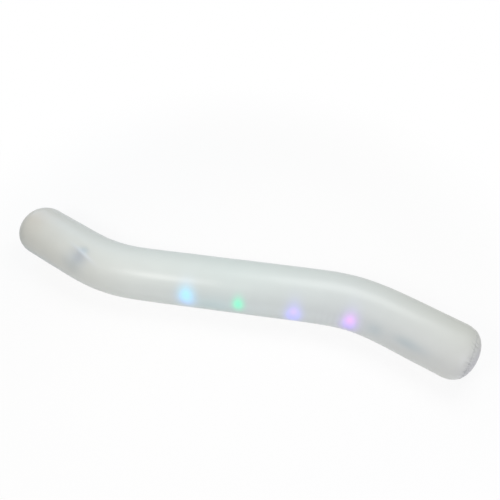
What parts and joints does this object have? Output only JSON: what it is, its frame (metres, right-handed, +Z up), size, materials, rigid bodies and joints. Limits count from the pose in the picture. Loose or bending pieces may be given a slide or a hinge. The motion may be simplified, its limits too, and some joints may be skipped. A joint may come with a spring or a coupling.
{
  "type": "inflatable light-up pool noodle",
  "caption": "Long inflatable frosted-film pool noodle with a gentle double bend, coloured lights along its front, a battery unit and an air valve at the back.",
  "frame": {"origin": "on the floor under the middle of the tube, at the bottom centre of the bounding box", "axes": "+X along the straight middle of the tube, +Y to the back, where the battery unit and valve are, -Y to the front, where the lights are, +Z up"},
  "size_m": [1.2704, 0.3494, 0.1441],
  "materials": {
    "frosted_film": "frosted translucent calendered PVC film, satin",
    "clear_film": "clear PVC film, glossy",
    "clear_lens": "clear moulded polycarbonate, polished",
    "white_plastic": "white moulded ABS, satin",
    "grey_plastic": "grey moulded ABS, fine texture",
    "board_green": "green solder mask on glass epoxy",
    "led_cream": "encapsulated LED",
    "wire_white": "white PVC wire insulation",
    "splice_blue": "dark blue heat-shrink tube",
    "rubber_grey": "moulded silicone rubber, matte",
    "button_blue": "moulded soft rubber, matte",
    "cell_silver": "printed metal jacket, satin",
    "nickel": "nickel-plated spring steel",
    "steel": "plated steel screw",
    "chip_black": "moulded black epoxy",
    "valve_vinyl": "soft clear injection-moulded PVC"
  },
  "bodies": {
    "noodle": {"sleeve_film": "frosted_film", "end_disc_left": "frosted_film", "end_disc_right": "frosted_film", "light_channel_film": "clear_film", "pod_base_1": "white_plastic", "pod_lens_1": "clear_lens", "pod_board_1": "board_green", "pod_led_1": "led_cream", "pod_base_2": "white_plastic", "pod_lens_2": "clear_lens", "pod_board_2": "board_green", "pod_led_2": "led_cream", "pod_base_3": "white_plastic", "pod_lens_3": "clear_lens", "pod_board_3": "board_green", "pod_led_3": "led_cream", "pod_base_4": "white_plastic", "pod_lens_4": "clear_lens", "pod_board_4": "board_green", "pod_led_4": "led_cream", "pod_base_5": "white_plastic", "pod_lens_5": "clear_lens", "pod_board_5": "board_green", "pod_led_5": "led_cream", "wire_lead": "wire_white", "wire_1_2": "wire_white", "wire_2_3": "wire_white", "wire_3_4": "wire_white", "wire_4_5": "wire_white", "wire_splice_sleeve": "splice_blue", "case_base": "grey_plastic", "case_body": "grey_plastic", "cover_gasket": "rubber_grey", "battery_1": "cell_silver", "battery_contact_1": "nickel", "battery_spring_1": "nickel", "battery_2": "cell_silver", "battery_contact_2": "nickel", "battery_spring_2": "nickel", "battery_3": "cell_silver", "battery_contact_3": "nickel", "battery_spring_3": "nickel", "control_board": "board_green", "control_chip": "chip_black", "switch_body": "chip_black", "cable_gland": "rubber_grey", "valve_flange": "valve_vinyl"},
    "battery_cover": {"battery_cover": "grey_plastic"},
    "push_button": {"push_button": "button_blue", "switch_plunger": "white_plastic"},
    "valve_stem": {"valve_stem": "valve_vinyl", "plug_strap": "valve_vinyl"},
    "check_flap": {"check_flap": "valve_vinyl"},
    "valve_plug": {"valve_plug": "valve_vinyl"},
    "cover_screw_1": {"cover_screw_1": "steel"},
    "cover_screw_2": {"cover_screw_2": "steel"},
    "cover_screw_3": {"cover_screw_3": "steel"},
    "cover_screw_4": {"cover_screw_4": "steel"}
  },
  "joints": [
    {"name": "cover_lift", "type": "slide", "parent": "noodle", "child": "battery_cover", "axis": [0, 0.9063, -0.4226], "range_m": [0, 0.014]},
    {"name": "button_press", "type": "slide", "parent": "noodle", "child": "push_button", "axis": [0, -0.9063, 0.4226], "range_m": [0, 0.001], "stiffness_N_per_m": 500},
    {"name": "stem_pull", "type": "slide", "parent": "noodle", "child": "valve_stem", "axis": [0, 0.9397, -0.342], "range_m": [0, 0.008]},
    {"name": "plug_pull", "type": "slide", "parent": "valve_stem", "child": "valve_plug", "axis": [0, 0.9397, -0.342], "range_m": [0, 0.0095]},
    {"name": "flap_swing", "type": "hinge", "parent": "valve_stem", "child": "check_flap", "pos_m": [0.1247, 0.05798, 0.05094], "axis": [0, -0.342, -0.9397], "range_deg": [0, 40]},
    {"name": "screw_1_turn", "type": "hinge", "parent": "battery_cover", "child": "cover_screw_1", "pos_m": [-0.14605, 0.07469, 0.06066], "axis": [0, 0.9063, -0.4226], "range_deg": [0, 1080]},
    {"name": "screw_2_turn", "type": "hinge", "parent": "battery_cover", "child": "cover_screw_2", "pos_m": [-0.14605, 0.05673, 0.02215], "axis": [0, 0.9063, -0.4226], "range_deg": [0, 1080]},
    {"name": "screw_3_turn", "type": "hinge", "parent": "battery_cover", "child": "cover_screw_3", "pos_m": [-0.10205, 0.07469, 0.06066], "axis": [0, 0.9063, -0.4226], "range_deg": [0, 1080]},
    {"name": "screw_4_turn", "type": "hinge", "parent": "battery_cover", "child": "cover_screw_4", "pos_m": [-0.10205, 0.05673, 0.02215], "axis": [0, 0.9063, -0.4226], "range_deg": [0, 1080]}
  ]
}
